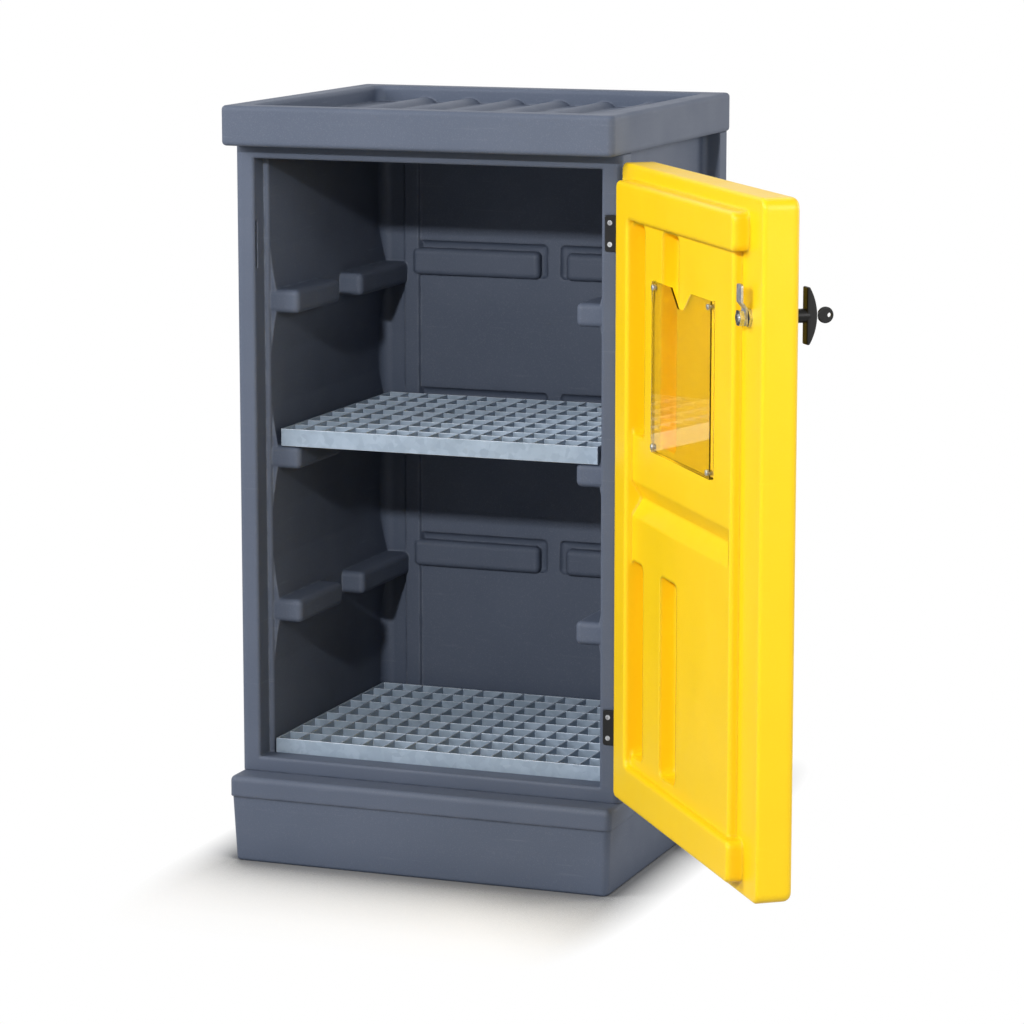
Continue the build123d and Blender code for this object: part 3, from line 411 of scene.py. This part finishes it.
# Floor: the lamps' shadow and a painted contact shadow gather near the footprint of the rim, the widest
# moulding
RIM_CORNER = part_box("top_tray")[1]
FOOTPRINT = (RIM_CORNER[0], RIM_CORNER[1], 0)
FOOTPRINT_EDGE = (0, 0, 0)
SIDEWAYS_FADE = (5, 1, 1)
SHADOW_REACH = (0, 0.38)
# Reach and strength of the painted contact shadow
CONTACT_DISTANCE = 0.28
CONTACT_REACH = (1, 0.6)
FLOOR_RADIUS = 60
FLOOR_SIDES = 96
FLOOR_ROUGHNESS = 0.9
FLOOR_GLOSS = 0.1


def seen_directly(tree):
    """Value that is 1 for what the camera sees, also in gloss and through clear pieces."""
    rays = add(tree, "LightPath").outputs
    seen_or_mirrored = number_step(tree, "MAXIMUM", rays["Is Camera Ray"], rays["Is Glossy Ray"])
    return number_step(tree, "MAXIMUM", seen_or_mirrored, rays["Is Transmission Ray"])


def distance_from_footprint(tree):
    """Distance on the floor from the footprint, counted longer to its left and right."""
    away = vector_step(tree, "ABSOLUTE", object_points(tree))
    beyond = vector_step(tree, "SUBTRACT", away, FOOTPRINT)
    outside = vector_step(tree, "MAXIMUM", beyond, FOOTPRINT_EDGE)
    counted = vector_step(tree, "MULTIPLY", outside, SIDEWAYS_FADE)
    return vector_step(tree, "LENGTH", counted, result="Value")


def floor_material():
    """Pale floor that keeps the lamps' shadow and a painted contact shadow near the cabinet, and fades to
    white away from it.
    """
    material, tree, shader = new_material("floor")
    seen = seen_directly(tree)
    # Painted contact shadow: the floor is darkened where the cabinet stands close beside it
    painted_contact_shadow = painted_shade_mask(tree, CONTACT_DISTANCE, CONTACT_REACH)
    shaded = blend_colours(tree, painted_contact_shadow, FLOOR, FLOOR_SHADED)
    tone = blend_colours(tree, seen, FLOOR_BOUNCE, shaded)
    fill(tree, shader, Base_Color=tone, Roughness=FLOOR_ROUGHNESS, Specular_IOR_Level=FLOOR_GLOSS)
    fade = spread(tree, distance_from_footprint(tree), SHADOW_REACH)
    white = add(tree, "Emission", Color=WHITE, Strength=1)
    show_mixed(tree, number_step(tree, "MULTIPLY", fade, seen), shader, white)
    return material


def white_floor():
    """Round floor at height zero."""
    angles = [2 * math.pi * side / FLOOR_SIDES for side in range(FLOOR_SIDES)]
    ring = [(FLOOR_RADIUS * math.cos(angle), FLOOR_RADIUS * math.sin(angle), 0) for angle in angles]
    mesh = bpy.data.meshes.new("floor")
    mesh.from_pydata(ring, [], [tuple(range(FLOOR_SIDES))])
    mesh.materials.append(floor_material())
    disc = bpy.data.objects.new("floor", mesh)
    bpy.context.scene.collection.objects.link(disc)


# Light and camera

def white_surroundings():
    """World that looks white and lights the cabinet at a plain level."""
    world = bpy.data.worlds.new("surroundings")
    bpy.context.scene.world = world
    world.use_nodes = True
    tree = world.node_tree
    strength = spread(tree, seen_directly(tree), (0, 1), (SURROUNDINGS_LIGHT, 1))
    fill(tree, tree.nodes["Background"], Color=WHITE, Strength=strength)


def soft_lamp(name, place, target, side, power):
    """Square soft lamp that faces a point."""
    data = bpy.data.lights.new(name, "AREA")
    data.shape = "SQUARE"
    data.size = side
    data.energy = power
    lamp = bpy.data.objects.new(name, data)
    lamp.location = place
    lamp.rotation_euler = (Vector(target) - Vector(place)).to_track_quat("-Z", "Y").to_euler()
    bpy.context.scene.collection.objects.link(lamp)


def photo_camera():
    """Camera at the photograph's viewing angle."""
    data = bpy.data.cameras.new("camera")
    data.sensor_width = SENSOR_WIDTH
    data.lens = SENSOR_WIDTH * FOCAL_PIXELS / PICTURE_PIXELS
    camera = bpy.data.objects.new("camera", data)
    camera.location = CAMERA_PLACE
    camera.rotation_euler = (math.radians(LEVEL_VIEW - CAMERA_DIP), 0, math.radians(CAMERA_TURN))
    bpy.context.scene.collection.objects.link(camera)
    bpy.context.scene.camera = camera


dress_nodes()
white_floor()
white_surroundings()
for lamp_name, lamp_values in LAMPS.items():
    soft_lamp(lamp_name, **lamp_values)
photo_camera()
bpy.context.scene.view_settings.view_transform = "Standard"
